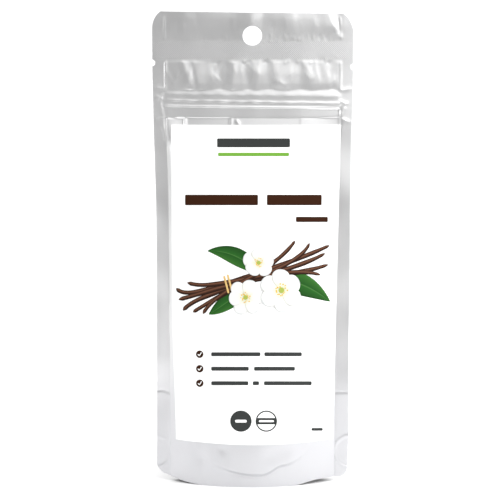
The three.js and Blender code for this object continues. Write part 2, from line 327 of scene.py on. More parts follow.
SCATTER_SEED = 4
BACK_SCATTER_SEED = 9
SCATTER_PROUD = (0.3, 1)  # each stands out by a share of its kind's height between these
SCATTER_SIGNS = (1, 1, -1)  # two in three stand out, and one is pressed in
SCATTER_REACH = (0.4, 1.5)
SCATTER_CAP = 0.45  # share of its length over which each end fades
CREASE_BLUNT = 0.2

# The flange's turned right end, and the facets between the flange and the label
FLANGE_TURN = (21.5, 38.2, 0.75)  # the flange turns away from here, to here, by this much
FLANGE_TURN_TOP = (169.4, 170.6)
FLANGE_TURN_END = 1.2
UNDER_FLANGE_FOOT = 150
UNDER_FLANGE_FADE = (153, 162)
UNDER_FLANGE_FOLDS = [  # place at the foot, place at the top, how proud
    (-38.4, -38.4, 0),
    (-37.2, -38.0, 0.5),
    (-31.2, -30.4, -0.6),
    (-30.4, -29.6, 0.24),
    (-29.4, -28.8, -0.12),
    (-11.0, -10.4, -0.16),
    (-10.0, -9.4, 0.2),
    (-8.6, -8.4, 0.02),
    (-4.6, -5.2, 0.05),
    (20.8, 21.0, 0.0),
    (21.5, 21.5, 0.08),
    (38.3, 38.3, -0.85),
    (39.4, 39.4, 0),
]

# Soft buckles and dents of the foot
FOOT_BUCKLE_TOP = 30
FOOT_BUCKLE_FADE = (16, 40)
FOOT_BUCKLES = [  # place at the floor, place at the top, how proud
    (-38.0, -38.0, 0),
    (-34.5, -32.0, 0.1),
    (-30.0, -29.0, 0.6),
    (-22.0, -23.5, 0.1),
    (-18.6, -17.6, 0.4),
    (-9.0, -7.0, -0.05),
    (3.0, 3.0, 0.2),
    (15.0, 12.0, 0.0),
    (25.5, 27.0, 0.3),
    (38.0, 38.0, 0),
]
FOOT_RELIEF_POWER = 0.4
FOOT_DENTS = [  # place, height, reach, how deep
    (-13.4, 17.3, 2.3, 0.2),
    (-22.6, 12.2, 2.6, 0.24),
    (9.0, 14.5, 3.2, 0.28),
    (15.5, 16.5, 2.8, 0.25),
]

# Marks of the gusset in the side seals
SEAL_BLEND = (0.3, 0.6)  # the marks start this far inside the seal's inner edge, and are full this far out
FOLD_GROOVE = 0.05
FOLD_GROOVE_WIDTH = 0.45
FOLD_LEDGE = 0.15
FOLD_LEDGE_STEP = (-0.9, 0.2)
FOLD_ARCH = (0.9, 41.2, 3)  # the left groove bows up: how far, round this place, over this reach
PUNCH_HEIGHT = 13.7
PUNCH_RADIUS = 7.3
PUNCH_OUTSIDE = 0.6  # the middle of its circle lies this far outside the edge
PUNCH_SOFTNESS = 0.5
PUNCH_DEPTH = 0.15
PUNCH_RIM = 0.2
PUNCH_RIM_WIDTH = 0.4
PUNCH_FAINT = 0.4  # the left half moon shows only this much

# The side seals wander a little: how far, length of a wave, phase
SEAL_WAVES = [(0.42, 83, 0.4), (0.16, 31, 1.9)]
SEAL_PHASE = 1.3  # the two sides' waves differ by twice this
SEAL_SAG = (1.2, 150, -4.3)
SEAL_SAG_RIGHT = 0.1  # share of the sag that the right seal has
SEAL_WANDER_INNER = 30
SEAL_WANDER_HEIGHTS = (22, 60, 150, 168)  # starts, is full, fades and ends
SEAL_CURL = (0.5, 108, 27)  # the left seal curls forward by this much, round this height, over this reach
SEAL_CURL_ACROSS = (36, 8)  # from this place, over this reach

# Meshes of the film and the label
CORNER_ROWS = (8, 12)  # rows in the left foot corner, of this many in a quarter turn
ROW_STEPS = [  # up to this height, about this far apart
    (13, 0.34), (24, 0.65), (39.4, 1.5), (43, 0.4), (153, 2.2), (163.8, 0.8), (179, 0.32), (HEIGHT, 0.48),
]
FACE_COLUMNS = 140
SEAL_COLUMNS = (1.04, 1.985, 0.1)  # in a side seal: from this share to this one, about this far apart
LIP_ROWS = 8
SKIRT_ROWS = 12
GUSSET_ROWS = 12
LABEL_COLUMNS = 130
LABEL_ROWS = 226
WELD = 0.004  # points nearer to each other than this are merged
SLIVER = 0.002  # thinner faces are taken out
LEAST_SEAL = 0.6  # a side seal is at least this wide, also at a round corner
OPEN_LIP = 0.97  # share of the width over which the lip stands open
OPEN_FOOT = 0.95  # share of the width over which the gusset is open
LEAST_THICKNESS = 0.7  # of the seals' own
WALL_SHARE = 0.4  # one wall takes at most this share of the thickness
FILM_SHARP = math.radians(50)  # edges that turn more than this look sharp
LABEL_SHARP = math.radians(40)
CUTTER_SIDES = 72

# Meshes of the print: columns and rows of each patch
BAR_GRID = (10, 1.4, 6)  # at least this many columns, this many for a millimetre, and rows
DISC_GRID = (28, 14)
RING_GRID = (72, 2)
TICK_GRID = (8, 4)
LEAF_GRID = (40, 14)
POD_GRID = (90, 6)
TIE_GRID = (14, 4)
PETAL_GRID = (22, 12)
THROAT_GRID = (12, 8)
SPECK_GRID = (8, 4)

# Finishes
# Painted shade: the film is drawn darker, and a little bluer, towards its foot
FILM_SHADED_AT_FOOT = (0.58, 0.58, 0.598)
FILM_ABOVE = (0.86, 0.86, 0.862)
FOOT_SHADE_HEIGHTS = (16, 95)  # the film's colour changes between these heights, darker below as painted shade
FILM_ROUGHNESS = (0.28, 0.34)
FILM_CLOUDS = 60
FILM_CLOUD_RANGE = (0.3, 0.7)
SEAL_DULLNESS = 0.08
# Painted shade: the back face's colour is darkened by this share
BACK_PAINTED_SHADE = 0.42
BACK_EDGE = 0.002  # the back's painted shade fades in this far either side of the back's edge, as a share of the web's length
MESH_PITCH = 0.9  # along x, of the top seal's embossed mesh
MESH_HEIGHT = 0.013
MESH_START = (0.2, 0.7)  # it fades in this far above the top seal's lower edge
MESH_END = (-0.4, 0.1)
LABEL_WHITE = (0.93, 0.93, 0.925)
PAPER_ROUGHNESS = 0.5
INK_SHINE = 0.08
DARK_INK = (0.036, 0.039, 0.038)
BROWN_INK = (0.034, 0.0105, 0.0035)
GREEN_INK = (0.16, 0.36, 0.045)
PALE_INK = (0.85, 0.85, 0.84)
STRAW_INK = (0.62, 0.42, 0.16)
THROAT_INK = (0.34, 0.4, 0.08)
YELLOW_INK = (0.72, 0.42, 0.02)
LEAF_INK = [  # share of the way across, colour
    (0.0, (0.012, 0.055, 0.01)),
    (0.46, (0.02, 0.1, 0.016)),
    (0.5, (0.06, 0.17, 0.04)),
    (0.54, (0.014, 0.075, 0.012)),
    (1.0, (0.035, 0.13, 0.022)),
]
POD_INK = [  # share of the way across, colour
    (0.0, (0.012, 0.005, 0.003)),
    (0.35, (0.04, 0.017, 0.01)),
    (0.62, (0.14, 0.06, 0.035)),
    (0.8, (0.07, 0.03, 0.018)),
    (1.0, (0.02, 0.009, 0.006)),
]
PETAL_INK = [  # share of the way from the throat to the tip, colour
    (0.0, (0.36, 0.42, 0.16)),
    (0.2, (0.6, 0.61, 0.42)),
    (0.45, (0.72, 0.72, 0.68)),
    (0.8, (0.7, 0.71, 0.7)),
    (1.0, (0.47, 0.49, 0.5)),
]

# Studio: floor paper, which turns greyer in front of the pouch
FLOOR_REACH = 9000
FLOOR_PALE = 0.8
FLOOR_FRONT = 0.24
FLOOR_FRONT_START = -60
FLOOR_FRONT_END = -380
FLOOR_ROUGHNESS = 0.85

# Brightness of the room by direction: a darker and a brighter side, and more light from above and behind
SIDE_DARK = 0.32
SIDE_BRIGHT = 1.34
SIDE_FROM = -0.4
SIDE_TO = 0.36
ROOM_BACK = (-0.2, 0.5, 0, 0.1)  # from and to this direction, from and to this brightness
ROOM_UP = (0.12, 0.6, 0, 0.22)
ROOM_TOP = (0.55, 1.0, 0, 0.85)
ROOM_LEFT = (-0.85, -0.45, 0.8, 0)
SOFTBOXES = [  # name, place and aim in metres, size, power
    ("key", (0.55, -0.85, 0.55), (0, 0, 0.12), (0.2, 0.4), 1.1),
    ("top_strip", (0, -0.5, 0.9), (0, 0, 0.15), (0.9, 0.1), 0.8),
    ("left_strip", (-0.8, -0.7, 0.4), (0, 0, 0.12), (0.1, 0.5), 0.8),
    ("right_low", (0.35, -0.12, 0.25), (0.06, -0.06, 0), (0.12, 0.2), 1.0),
]
CAMERA_DISTANCE = 900
CAMERA_ELEVATION = math.radians(9)
CAMERA_AIM = (-1.03, 0, 106.4)
CAMERA_LENS = 144.6
CAMERA_SENSOR = 36


def smooth(value, low, high):
    """0 below low, 1 above high, and a soft step between."""
    share = np.clip((value - low) / (high - low), 0, 1)
    return share * share * (3 - 2 * share)


def bell(value, middle, width):
    return np.exp(-(((value - middle) / width) ** 2))


def half_width(z):
    return HALF_WIDTH - WAIST_TUCK * smooth(-z, -WAIST_TOP, -WAIST_FULL)


def seal_inner(z):
    return half_width(z) - SIDE_SEAL


def lens(x, z):
    """1 on the middle line, 0 at the side seals."""
    across = np.minimum(1, np.abs(x) / seal_inner(z))
    return (1 - across**2) ** LENS_POWER


def within(value, stretch):
    """0 up to the first of four values, 1 from the second to the third, and 0 from the fourth on."""
    start, full, fade, end = stretch
    return smooth(value, start, full) * (1 - smooth(value, fade, end))


def faded_sideways(x, left, right):
    """1 in the middle, and less at each side: where the fade starts, where it ends, and by what share."""
    left_start, left_end, left_share = left
    right_start, right_end, right_share = right
    kept_left = 1 - left_share * smooth(-x, left_start, left_end)
    return kept_left * (1 - right_share * smooth(x, right_start, right_end))


def arch_height(x):
    """Height of the seal that joins a face to the gusset."""
    places, heights = zip(*ARCH)
    shifts = [ARCH_SOFTNESS * share for share in (-1, -0.5, 0, 0.5, 1)]
    return sum(np.interp(x + shift, places, heights) for shift in shifts) / len(shifts)


def belly(x, z, depth):
    """How far a face bulges from the seals' plane, without its creases."""
    down = np.clip((FLANGE_LOW - z) / FLANGE_LOW, 0, 1)
    above = z - arch_height(x)
    swell = ARCH_BULGE * smooth(above, 0, ARCH_STEP) * (1 - smooth(z, *ARCH_FADE))
    swell = swell * faded_sideways(x, ARCH_FADE_LEFT, ARCH_FADE_RIGHT)
    groove = ARCH_GROOVE * bell(above, *ARCH_GROOVE_PLACE)
    groove = groove * faded_sideways(x, ARCH_GROOVE_LEFT, ARCH_GROOVE_RIGHT)
    far, reach = SHOULDER
    inside = np.maximum(0, seal_inner(z) + x)
    shoulder = far * (1 - np.exp(-inside / reach)) * smooth(-x, *SHOULDER_ACROSS)
    shoulder = shoulder * within(z, SHOULDER_HEIGHTS)
    return (depth * np.sin(down * math.pi / 2) + swell - groove) * lens(x, z) + shoulder


def swelling(x):
    """How much fuller a ridge of the zip is at a place. It comes and goes without a rhythm."""
    return 0.4 * np.sin(0.23 * x + 1) * np.sin(0.61 * x) + 0.25 * np.sin(0.9 * x + 0.5)


def zip_relief(x, z):
    """The zip's flange and its ridges, pressed through the film."""
    before, beyond = ZIP_ENDS
    inside = 1 - smooth(np.abs(x), seal_inner(z) - before, seal_inner(z) + beyond)
    strip = smooth(z, FLANGE_LOW - FLANGE_EDGE, FLANGE_LOW)
    strip = strip * (1 - smooth(z, FLANGE_HIGH - FLANGE_FADE, FLANGE_HIGH + FLANGE_EDGE))
    waver = ZIP_WAVER * sum(share * np.sin(quick * x + phase) for quick, phase, share in ZIP_WAVES)
    ribs = 0
    for height, fall, proud, width, uneven in ZIP_RIDGES:
        ribs = ribs + proud * (1 + uneven * swelling(x)) * bell(z + fall * x, height + uneven * waver, width)
    return inside * (FLANGE_PROUD * strip + ribs)


def header_puff(x, z, folds):
    """The two films stand apart between the zip and the top seal, and are gathered into folds."""
    along = np.clip((z - FLANGE_HIGH) / (TOP_SEAL_LOW - FLANGE_HIGH), 0, 1)
    held = 1 - smooth(z, TOP_SEAL_LOW - HEADER_HELD, TOP_SEAL_LOW)
    below, above = HEADER_FOLD_START
    folded = gathered(x, along, folds) * smooth(z, FLANGE_HIGH - below, FLANGE_HIGH + above)
    below, above = HEADER_PUFF_START
    puff = HEADER_PUFF * smooth(z, FLANGE_HIGH - below, FLANGE_HIGH + above) * lens(x, z) ** HEADER_PUFF_POWER
    fall, start, end = HEADER_PUFF_FALL
    return (puff * (1 - fall * smooth(along, start, end)) + folded) * held


def gathered(x, along, folds):
    """Facets between fold lines: each line's place at the foot, its place at the top, and how proud it is."""
    straight, rounded = FOLD_EASE
    relief = 0
    for (foot_a, top_a, proud_a), (foot_b, top_b, proud_b) in zip(folds, folds[1:]):
        start = foot_a + (top_a - foot_a) * along
        end = foot_b + (top_b - foot_b) * along
        share = np.clip((x - start) / (end - start), 0, 1)
        eased = straight * share + rounded * share * share * (3 - 2 * share)
        relief = relief + (proud_b - proud_a) * eased
    return relief


def crease(x, z, start, end, proud, left, right, cap=1.0):
    """A straight crease from start to end. left and right are how far its two flanks reach."""
    run = (end[0] - start[0], end[1] - start[1])
    length = math.hypot(*run)
    along = ((x - start[0]) * run[0] + (z - start[1]) * run[1]) / length
    across = ((x - start[0]) * run[1] - (z - start[1]) * run[0]) / length
    reach = np.where(across < 0, left, right)
    flank = np.exp(-(np.sqrt(across**2 + CREASE_BLUNT**2) - CREASE_BLUNT) / reach)
    ends = smooth(along, -cap, cap) * (1 - smooth(along, length - cap, length + cap))
    return proud * flank * ends


def film_wave(x, z):
    """How far both films together wander from the flat."""
    below, above = FLAP_RISE
    flap = smooth(z, TOP_SEAL_HIGH - below, TOP_SEAL_HIGH + above)
    along = np.clip((z - TOP_SEAL_HIGH) / (HEIGHT - TOP_SEAL_HIGH), 0, 1)
    bow = HEADER_BOW * (x / HALF_WIDTH) ** 2 * smooth(z, *HEADER_BOW_HEIGHTS)
    side = SEAL_PHASE * np.sign(x)
    sway = sum(far * np.sin(TURN * z / length + phase + side) for far, length, phase in SEAL_WAVES)
    far, length, phase = SEAL_SAG
    sway = sway + far * np.where(x < 0, 1, SEAL_SAG_RIGHT) * np.sin(TURN * z / length + phase)
    edge = smooth(np.abs(x), SEAL_WANDER_INNER, HALF_WIDTH) * within(z, SEAL_WANDER_HEIGHTS)
    curl, curl_height, curl_reach = SEAL_CURL
    curl_from, curl_over = SEAL_CURL_ACROSS
    forward = curl * np.clip((-x - curl_from) / curl_over, 0, 1) * bell(z, curl_height, curl_reach)
    return bow + sway * edge - forward - flap * gathered(x, along, FLAP_FOLDS)


def lip_gap(x, z):
    return LIP_SPREAD * smooth(z, TOP_SEAL_HIGH, HEIGHT) * lens(x, z) ** LIP_SPREAD_POWER


def seal_marks(x, z):
    """The gusset's marks in the side seals: a groove over a thicker part, and punched half moons."""
    before, beyond = SEAL_BLEND
    in_seal = smooth(np.abs(x), seal_inner(z) - before, seal_inner(z) + beyond)
    bow, place, reach = FOLD_ARCH
    arch = bow * (1 - ((np.abs(x) - place) / reach) ** 2) * (x < 0)
    up = z - GUSSET_TOP - arch
    groove = -FOLD_GROOVE * bell(up, 0, FOLD_GROOVE_WIDTH) + FOLD_LEDGE * (1 - smooth(up, *FOLD_LEDGE_STEP))
    moon = np.hypot(np.abs(x) - HALF_WIDTH - PUNCH_OUTSIDE, z - PUNCH_HEIGHT)
    punched = PUNCH_DEPTH * (1 - smooth(moon, PUNCH_RADIUS - PUNCH_SOFTNESS, PUNCH_RADIUS))
    punched = punched - PUNCH_RIM * bell(moon, PUNCH_RADIUS, PUNCH_RIM_WIDTH)
    return (groove - punched * np.where(x < 0, PUNCH_FAINT, 1)) * in_seal


def foot_relief(x, z):
    buckles = gathered(x, np.clip(z / FOOT_BUCKLE_TOP, 0, 1), FOOT_BUCKLES)
    dents = 0
    for place, height, reach, deep in FOOT_DENTS:
        dents = dents + deep * bell(np.hypot(x - place, z - height), 0, reach)
    return buckles * (1 - smooth(z, *FOOT_BUCKLE_FADE)) - dents


def under_flange(x, z):
    along = np.clip((z - UNDER_FLANGE_FOOT) / (FLANGE_LOW - UNDER_FLANGE_FOOT), 0, 1)
    folds = gathered(x, along, UNDER_FLANGE_FOLDS) * smooth(z, *UNDER_FLANGE_FADE)
    return folds * (1 - smooth(z, FLANGE_LOW - FLANGE_TOE, FLANGE_LOW))


def flange_turn(x, z):
    start, end, far = FLANGE_TURN
    share = np.clip((x - start) / (end - start), 0, 1) * (1 - smooth(x, end, end + FLANGE_TURN_END))
    return -far * share * smooth(z, FLANGE_LOW - FLANGE_TOE, FLANGE_LOW) * (1 - smooth(z, *FLANGE_TURN_TOP))


def lip_roll(x, z):
    """The cut top edge curls in a little, more at some places than at others."""
    uneven = 0.55 + 0.45 * np.sin(x * 0.42 + 1.2) * np.sin(x * 0.17 - 0.4)
    return LIP_ROLL * uneven * smooth(z, *LIP_ROLL_HEIGHTS) * lens(x, z) ** LIP_ROLL_POWER


def scatter(draws, seed):
    """Random short creases, as crease() takes them."""
    chance = random.Random(seed)
    lines = []
    for count, left, right, low, high, shortest, longest, lean, proud, reach in draws:
        for k in range(count):
            x, z = chance.uniform(left, right), chance.uniform(low, high)
            length, turn = chance.uniform(shortest, longest), chance.uniform(-lean, lean)
            end = (x + length * math.sin(turn), z + length * math.cos(turn))
            tall = proud * chance.uniform(*SCATTER_PROUD) * chance.choice(SCATTER_SIGNS)
            left_reach = reach * chance.uniform(*SCATTER_REACH)
            right_reach = reach * chance.uniform(*SCATTER_REACH)
            lines.append(((x, z), end, tall, left_reach, right_reach, SCATTER_CAP * length))
    return lines


FRONT_LINES = FRONT_CREASES + scatter(SCATTERED_CREASES, SCATTER_SEED)
BACK_LINES = scatter(BACK_CREASES, BACK_SCATTER_SEED)


def face(x, z, depth, folds):
    header = header_puff(x, z, folds) + lip_gap(x, z) / 2 - lip_roll(x, z)
    marks = seal_marks(x, z) + foot_relief(x, z) * lens(x, z) ** FOOT_RELIEF_POWER
    return SEAL_THICKNESS / 2 + belly(x, z, depth) + zip_relief(x, z) + header + marks


def relief(x, z, lines):
    return sum(crease(x, z, *line) for line in lines)


def front_y(x, z):
    facets = under_flange(x, z) + flange_turn(x, z)
    return film_wave(x, z) - face(x, z, FRONT_DEPTH, FRONT_FOLDS) - facets - relief(x, z, FRONT_LINES)


def back_y(x, z):
    return film_wave(x, z) + face(x, z, BACK_DEPTH, BACK_FOLDS) + relief(x, z, BACK_LINES)


def label_y(x, z):
    """The label's outer face. It lies on the film and bridges the small folds under its top edge."""
    far, low, high = LABEL_BRIDGE
    lift = LABEL_GAP + far * smooth(z, low, high) + LABEL_THICKNESS
    return film_wave(x, z) - face(x, z, FRONT_DEPTH, FRONT_FOLDS) - lift


def deselect_all():
    if bpy.context.object and bpy.context.object.mode != "OBJECT":
        bpy.ops.object.mode_set(mode="OBJECT")
    bpy.ops.object.select_all(action="DESELECT")


def add_grid(name, columns, rows):
    """A flat grid of columns by rows faces, and the column and row of each of its points."""
    deselect_all()
    bpy.ops.mesh.primitive_grid_add(x_subdivisions=columns, y_subdivisions=rows, size=1)
    piece = bpy.context.object
    piece.name = name
    piece.data.name = name
    flat = np.empty(len(piece.data.vertices) * 3)
    piece.data.vertices.foreach_get("co", flat)
    flat = flat.reshape(-1, 3)
    column = np.rint((flat[:, 0] + 0.5) * columns).astype(int)
    row = np.rint((flat[:, 1] + 0.5) * rows).astype(int)
    return piece, column, row


def set_points(piece, points):
    """Puts every point of a piece at its place, given in millimetres."""
    piece.data.vertices.foreach_set("co", (points * MM).ravel())
    piece.data.update()


def apply_modifier(piece, kind, **settings):
    deselect_all()
    bpy.context.view_layer.objects.active = piece
    piece.select_set(True)
    modifier = piece.modifiers.new(kind.title(), kind)
    for key, value in settings.items():
        setattr(modifier, key, value)
    bpy.ops.object.modifier_apply(modifier=modifier.name)


def spread(low, high, step):
    """Values after low up to high, about step apart."""
    count = max(1, math.ceil(abs(high - low) / step))
    return [low + (high - low) * k / count for k in range(1, count + 1)]


def film_rows():
    """Heights of the film's rows, close together where it has fine relief or a round corner."""
    tall = max(FOOT_CORNERS)
    last, quarter = CORNER_ROWS
    rows = [tall * (1 - math.cos(math.pi / 2 * k / quarter)) for k in range(last + 1)]
    for high, step in ROW_STEPS:
        rows += spread(rows[-1], high, step)
    return rows


def film_columns():
    """Shares of the width: -1 to 1 from seal to seal, then on to -2 and 2 at the side edges."""
    belly_part = [-1] + spread(-1, 1, 2 / FACE_COLUMNS)
    seal_part = [SEAL_COLUMNS[0]] + spread(*SEAL_COLUMNS) + [2]
    return [-value for value in reversed(seal_part)] + belly_part + seal_part


def outline_half_width(z, side):
    """Half the width at a height, with the round corners. side is below 0 on the left."""
    over = np.clip(z - (HEIGHT - TOP_CORNER_RISE), 0, TOP_CORNER_RISE)
    top_cut = TOP_CORNER - np.sqrt(TOP_CORNER**2 - over**2)
    corner = np.where(side < 0, *FOOT_CORNERS)
    under = np.clip(corner - z, 0, corner)
    foot_cut = corner - np.sqrt(corner**2 - under**2)
    left, right = (np.interp(z, *zip(*points)) for points in (EDGE_WANDER_LEFT, EDGE_WANDER_RIGHT))
    return half_width(z) - top_cut - foot_cut + np.where(side < 0, left, right)


def foot_edge(x):
    """Height of the cut bottom edge, which the bowed faces lift towards its corners."""
    left = FOOT_LIFT * np.clip((-x - FOOT_FLAT) / (FOOT_LIFT_REACH - FOOT_FLAT), 0, 1.05) ** 2
    return left + FOOT_STEP * smooth(x, *FOOT_STEP_REACH)


def slanted(x, z):
    """Moves a height by the lifted bottom edge and the slanting top edge."""
    lift = foot_edge(x) * (1 - smooth(z, 0, FOOT_LIFT_TOP))
    drop = TOP_TILT * (x + HALF_WIDTH) / (2 * HALF_WIDTH) - TOP_RISE
    return z + lift - drop * smooth(z, TOP_SEAL_HIGH + 0.4, HEIGHT)


def lifted_back(x, z):
    """How far the back face is raised next to its bottom corners."""
    return BACK_LIFT * within(np.abs(x), BACK_LIFT_REACH) * (1 - smooth(z, 0, BACK_LIFT_TOP))


def place_on_outline(share, z):
    """Turns a column's share of the width into a place, so that the columns follow the seals and the edge."""
    inner = seal_inner(z)
    outline = outline_half_width(z, share)
    held = np.minimum(inner, outline - LEAST_SEAL)
    size = np.abs(share)
    outside = held + (outline - held) * (size - 1)
    return np.sign(share) * np.where(size <= 1, size * held, outside)


def film_stretches(face_rows):
    """The rows of the film's web in order, each with the part that it belongs to and its step there."""
    stretches = [("front", k) for k in range(face_rows)]
    stretches += [("front_lip", k) for k in range(LIP_ROWS, -1, -1)]
    stretches += [("back_lip", k) for k in range(0, LIP_ROWS + 1)]
    stretches += [("back", k) for k in range(face_rows - 1, -1, -1)]
    stretches += [("back_skirt", k) for k in range(0, SKIRT_ROWS)]
    stretches += [("gusset", k) for k in range(GUSSET_ROWS, -GUSSET_ROWS - 1, -1)]
    stretches += [("front_skirt", k) for k in range(SKIRT_ROWS - 1, -1, -1)]
    return stretches + [("front", 0)]


def film_web(heights, shares, stretches):
    """Places of the web's points: up the front, into and out of the open top lip, down the back, and up and
    down inside the gusset."""
    kinds = np.array([kind for kind, step in stretches])[:, None]
    steps = np.array([step for kind, step in stretches])[:, None]
    on_face = (kinds == "front") | (kinds == "back")
    on_lip = (kinds == "front_lip") | (kinds == "back_lip")
    on_skirt = (kinds == "front_skirt") | (kinds == "back_skirt")
    on_back = (kinds == "back") | (kinds == "back_skirt")
    share = np.broadcast_to(shares, (len(stretches), len(shares)))
    lip_low = np.where(np.abs(share) < OPEN_LIP, TOP_SEAL_HIGH, HEIGHT)
    level = np.where(on_face, heights[np.where(on_face, steps, 0)], 0)
    level = np.where(on_lip, lip_low + (HEIGHT - lip_low) * steps / LIP_ROWS, level)
    x = place_on_outline(share, level)
    z = slanted(x, level) + np.where(on_back, lifted_back(x, level), 0)

    # Under the pouch, the skirts and the gusset's tent start from the cut bottom edge
    open_here = np.abs(share) < OPEN_FOOT
    arch = arch_height(x)
    z = np.where(on_skirt & open_here, z + (arch - z) * steps / SKIRT_ROWS, z)
    z = np.where((kinds == "gusset") & open_here, arch, z)
    front = front_y(x, z)
    back = np.maximum(back_y(x, z), front + LEAST_THICKNESS * SEAL_THICKNESS)
    most = WALL_SHARE * (back - front)
    away = np.minimum(1, np.abs(steps) / GUSSET_ROWS)
    front_inner = front + np.minimum(SKIRT, most)
    back_inner = back - np.minimum(SKIRT, most)
    middle = (front_inner + back_inner) / 2
    side = np.where(steps > 0, back_inner, front_inner)
    tent = np.where(open_here, middle + (side - middle) * away, np.where(steps == 0, middle, side))
    places = {
        "front": front,
        "back": back,
        "front_lip": front + np.minimum(FILM, most),
        "back_lip": back - np.minimum(FILM, most),
        "front_skirt": front_inner,
        "back_skirt": back_inner,
    }
    y = np.select([kinds == kind for kind in places], list(places.values()), tent)
    y = np.where(np.abs(share) >= 2, (front + back) / 2, y)
    top = GUSSET_TOP - FOLD_SAG * (1 - np.minimum(1, np.abs(x) / seal_inner(0)) ** 2)
    z = np.where((kinds == "gusset") & open_here, arch + (top - arch) * (1 - away) ** GUSSET_SAG_POWER, z)
    return np.stack([x, y, z], axis=-1)


def punch(piece, radius, x, z):
    """Cuts a round hole through the piece, from front to back."""
    deselect_all()
    turn = (math.pi / 2, 0, 0)
    bpy.ops.mesh.primitive_cylinder_add(
        vertices=CUTTER_SIDES,
        radius=radius * MM,
        depth=PUNCH_LENGTH * MM,
        location=(x * MM, 0, z * MM),
        rotation=turn,
    )
    cutter = bpy.context.object
    apply_modifier(piece, "BOOLEAN", object=cutter, operation="DIFFERENCE", solver="MANIFOLD")
    bpy.data.objects.remove(cutter)


def make_film():
    """The bag's film, wrapped from one flat web. Its seams are welded, and its hole and notches punched. Also
    gives the shares of the web's length between which it is the back."""
    heights = np.array(film_rows())
    shares = np.array(film_columns())
    stretches = film_stretches(len(heights))
    web = film_web(heights, shares, stretches)
    piece, column, row = add_grid("pouch_film", len(shares) - 1, len(stretches) - 1)
    set_points(piece, web[row, column])
    bpy.ops.object.mode_set(mode="EDIT")
    bpy.ops.mesh.select_all(action="SELECT")
    bpy.ops.mesh.remove_doubles(threshold=WELD * MM)
    bpy.ops.mesh.dissolve_degenerate(threshold=SLIVER * MM)
    bpy.ops.mesh.normals_make_consistent(inside=False)
    bpy.ops.object.mode_set(mode="OBJECT")
    punch(piece, HOLE_RADIUS, 0, HOLE_HEIGHT)
    for x, z in NOTCHES:
        punch(piece, NOTCH_RADIUS, x, z)
    piece.data.materials.clear()
    deselect_all()
    piece.select_set(True)
    bpy.context.view_layer.objects.active = piece
    bpy.ops.object.shade_smooth_by_angle(angle=FILM_SHARP)
    lip = len(heights) + LIP_ROWS
    return piece, (lip / len(stretches), (lip + LIP_ROWS + len(heights)) / len(stretches))


def make_label():
    piece, column, row = add_grid("label_sheet", LABEL_COLUMNS, LABEL_ROWS)
    up = row / LABEL_ROWS
    across = column / LABEL_COLUMNS
    z = LABEL_BOTTOM + (LABEL_TOP - LABEL_BOTTOM) * up
    tuck, low, high = LABEL_LEFT_TUCK
    left = LABEL_LEFT + tuck * (1 - smooth(z, low, high))
    right = LABEL_RIGHT[0] + (LABEL_RIGHT[1] - LABEL_RIGHT[0]) * up
    x = left + (right - left) * across
    set_points(piece, np.stack([x, label_y(x, z), z], axis=-1))
    apply_modifier(piece, "SOLIDIFY", thickness=LABEL_THICKNESS * MM, offset=-1)
    bpy.ops.object.shade_smooth_by_angle(angle=LABEL_SHARP)
    return piece


def curve_at(points, along):
    """Places on a smooth curve that its control points pull, and the curve's direction there."""
    level = [np.array(point) + np.zeros((len(along), 1)) for point in points]
    while len(level) > 2:
        level = [a + (b - a) * along[:, None] for a, b in zip(level, level[1:])]
    run = level[1] - level[0]
    return level[0] + run * along[:, None], run / np.linalg.norm(run, axis=1)[:, None]


def bar_form(along, length, half):
    corner = min(half, LINE_CORNER)
    inset = np.minimum(np.minimum(along, 1 - along) * length, corner)
    return half - corner + np.sqrt(corner**2 - (corner - inset) ** 2)


def disc_form(along, length, half):
    return half * np.sqrt(np.maximum(0, 1 - (2 * along - 1) ** 2))


def leaf_form(along, length, half):
    return half * np.sin(math.pi * along**0.8) ** 0.85


def petal_form(along, length, half):
    base = np.clip((PETAL_WIDEST - along) / PETAL_WIDEST, 0, 1)
    tip = np.clip((along - PETAL_WIDEST) / (1 - PETAL_WIDEST), 0, 1)
    return half * (1 - base**PETAL_BASE_POWER) * np.sqrt(1 - tip**2)


def pod_form(along, length, half):
    ends = np.sqrt(np.maximum(0, 1 - (2 * along - 1) ** 16))
    knuckle = 0.22 * bell(along, 0.03, 0.02) + 0.16 * bell(along, 0.975, 0.02)
    waist = 0.62 + 0.38 * np.sin(math.pi * along) ** 0.6 + 0.05 * np.sin(along * 31)
    return half * ends * (waist + knuckle)


def levelled(x, z):
    """A row of print keeps level for someone who looks down at the pouch from the front."""
    away, high = READER
    return z - (label_y(x, z) - label_y(0, z)) * (high - z) / away


def weld_ink(piece):
    """Closes a patch where its points meet."""
    bpy.ops.object.mode_set(mode="EDIT")
    bpy.ops.mesh.select_all(action="SELECT")
    bpy.ops.mesh.remove_doubles(threshold=0.5 * WELD * MM)
    bpy.ops.mesh.dissolve_degenerate(threshold=0.5 * SLIVER * MM)
    bpy.ops.object.mode_set(mode="OBJECT")
    return piece


def print_patch(points, half, form, layer, grid):
    """A thin patch of ink along a curve. It lies on the label, layer by layer."""
    columns, rows = grid
    piece, column, row = add_grid("ink", columns, rows)
    along = 0.5 - 0.5 * np.cos(math.pi * column / columns)
    across = 2 * row / rows - 1
    place, run = curve_at(points, along)
    length = math.dist(points[0], points[-1])
    width = form(along, length, half) * across
    x = place[:, 0] - run[:, 1] * width
    z = levelled(x, place[:, 1] + run[:, 0] * width)
    set_points(piece, np.stack([x, label_y(x, z) - INK_LIFT - INK_STEP * layer, z], axis=-1))
    return weld_ink(piece)


def print_bar(reach, height, tall, layer=0):
    left, right = reach
    least, dense, rows = BAR_GRID
    columns = max(least, round((right - left) * dense))
    return print_patch([(left, height), (right, height)], tall / 2, bar_form, layer, (columns, rows))


def print_disc(middle, radius, layer=0, grid=DISC_GRID):
    x, z = middle
    return print_patch([(x - radius, z), (x + radius, z)], radius, disc_form, layer, grid)


